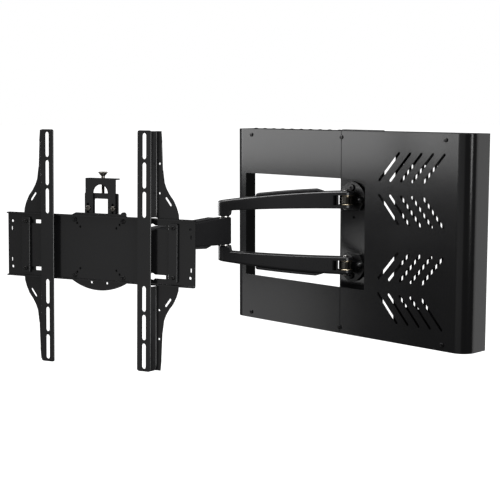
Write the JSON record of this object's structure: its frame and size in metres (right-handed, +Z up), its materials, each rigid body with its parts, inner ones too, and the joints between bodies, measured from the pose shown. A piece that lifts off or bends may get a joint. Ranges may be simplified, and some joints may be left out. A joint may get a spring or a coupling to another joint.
{
  "type": "full motion TV wall mount",
  "caption": "Full motion TV wall mount: vented equipment box on a wall plate, folding twin arms and forearm, swivel and tilt head, and a TV plate with sliding slotted brackets.",
  "frame": {"origin": "centre of the wall plate's back face, on the wall behind the column", "axes": "+Z up, +Y into the wall, +X to the right when facing the wall"},
  "size_m": [0.6347, 0.6203, 0.42],
  "materials": {
    "powder_coated_sheet": "semi-gloss black powder coat on steel sheet",
    "painted_castings": "satin black paint on cast arms",
    "black_plastic": "fine-textured moulded cover",
    "blackened_fasteners": "black oxide screws and bolts",
    "bright_steel": "turned steel pins and washers",
    "bronze_washers": "sintered bronze thrust washers"
  },
  "bodies": {
    "wall_unit": {"wall_plate": "powder_coated_sheet", "wall_column": "powder_coated_sheet", "top_rail": "powder_coated_sheet", "bottom_rail": "powder_coated_sheet", "bay_back_panel": "powder_coated_sheet", "left_cover": "powder_coated_sheet", "right_cover": "powder_coated_sheet", "cover_screw_1": "blackened_fasteners", "cover_screw_2": "blackened_fasteners", "cover_screw_3": "blackened_fasteners", "cover_screw_4": "blackened_fasteners", "cover_screw_5": "blackened_fasteners", "cover_screw_6": "blackened_fasteners", "upper_wall_knuckle": "painted_castings", "lower_wall_knuckle": "painted_castings", "upper_wall_knuckle_bolt": "blackened_fasteners", "lower_wall_knuckle_bolt": "blackened_fasteners", "upper_wall_pin": "bright_steel", "lower_wall_pin": "bright_steel"},
    "arm": {"upper_arm": "painted_castings", "lower_arm": "painted_castings", "upper_arm_cable_cover": "black_plastic", "lower_arm_cable_cover": "black_plastic", "upper_outer_wall_washer": "bronze_washers", "upper_inner_wall_washer": "bronze_washers", "lower_outer_wall_washer": "bronze_washers", "lower_inner_wall_washer": "bronze_washers", "elbow_pin": "bright_steel"},
    "forearm": {"forearm": "painted_castings", "forearm_upper_cable_cover": "black_plastic", "forearm_lower_cable_cover": "black_plastic", "upper_elbow_washer": "bright_steel", "lower_elbow_washer": "bright_steel"},
    "swivel_yoke": {"swivel_yoke": "painted_castings", "swivel_pin": "bright_steel"},
    "tilt_head": {"tilt_upright": "powder_coated_sheet", "tilt_bolt": "blackened_fasteners", "tilt_nut": "blackened_fasteners", "left_tilt_washer": "bronze_washers", "right_tilt_washer": "bronze_washers", "left_lock_screw": "blackened_fasteners", "right_lock_screw": "blackened_fasteners"},
    "height_carriage": {"arch_hanger": "powder_coated_sheet", "roll_rivet": "bright_steel", "roll_spacer": "black_plastic"},
    "thumb_screw": {"thumb_screw": "blackened_fasteners"},
    "tv_plate": {"tv_plate": "powder_coated_sheet", "roll_plate": "powder_coated_sheet", "plate_screw_1": "blackened_fasteners", "plate_screw_2": "blackened_fasteners", "plate_screw_3": "blackened_fasteners", "plate_screw_4": "blackened_fasteners"},
    "left_bracket": {"left_bracket": "powder_coated_sheet", "left_clamp_bar": "powder_coated_sheet", "left_top_clamp_screw": "blackened_fasteners", "left_bottom_clamp_screw": "blackened_fasteners"},
    "right_bracket": {"right_bracket": "powder_coated_sheet", "right_clamp_bar": "powder_coated_sheet", "right_top_clamp_screw": "blackened_fasteners", "right_bottom_clamp_screw": "blackened_fasteners"}
  },
  "joints": [
    {"name": "wall_pivot", "type": "hinge", "parent": "wall_unit", "child": "arm", "pos_m": [0, -0.05, 0], "axis": [0, 0, 1], "range_deg": [-33, 85]},
    {"name": "elbow_pivot", "type": "hinge", "parent": "arm", "child": "forearm", "pos_m": [-0.19574, -0.19484, 0], "axis": [0, 0, -1], "range_deg": [-62, 56]},
    {"name": "head_swivel", "type": "hinge", "parent": "forearm", "child": "swivel_yoke", "pos_m": [-0.18218, -0.4625, 0], "axis": [0, 0, 1], "range_deg": [-107, 72]},
    {"name": "head_tilt", "type": "hinge", "parent": "swivel_yoke", "child": "tilt_head", "pos_m": [-0.1683, -0.50001, 0], "axis": [0.9379, 0.3469, 0], "range_deg": [-3.5, 16.5]},
    {"name": "height_adjust", "type": "slide", "parent": "tilt_head", "child": "height_carriage", "axis": [-0.0091, 0.0246, 0.9997], "range_m": [-0.006, 0.0015]},
    {"name": "thumb_screw_turn", "type": "hinge", "parent": "height_carriage", "child": "thumb_screw", "pos_m": [-0.15648, -0.53197, -0.00261], "axis": [-0.0091, 0.0246, 0.9997], "range_deg": [-1730, 434]},
    {"name": "roll_level", "type": "hinge", "parent": "height_carriage", "child": "tv_plate", "pos_m": [-0.15093, -0.54698, -0.00219], "axis": [0.3468, -0.9376, 0.0262], "range_deg": [-5, 5]},
    {"name": "left_bracket_slide", "type": "slide", "parent": "tv_plate", "child": "left_bracket", "axis": [0.9379, 0.3469, 0], "range_m": [-0.003, 0.04]},
    {"name": "right_bracket_slide", "type": "slide", "parent": "tv_plate", "child": "right_bracket", "axis": [0.9379, 0.3469, 0], "range_m": [-0.04, 0.003]}
  ],
  "couplings": [
    {"joint": "thumb_screw_turn", "follows": "height_adjust", "rad_per_m": 5026.5}
  ]
}
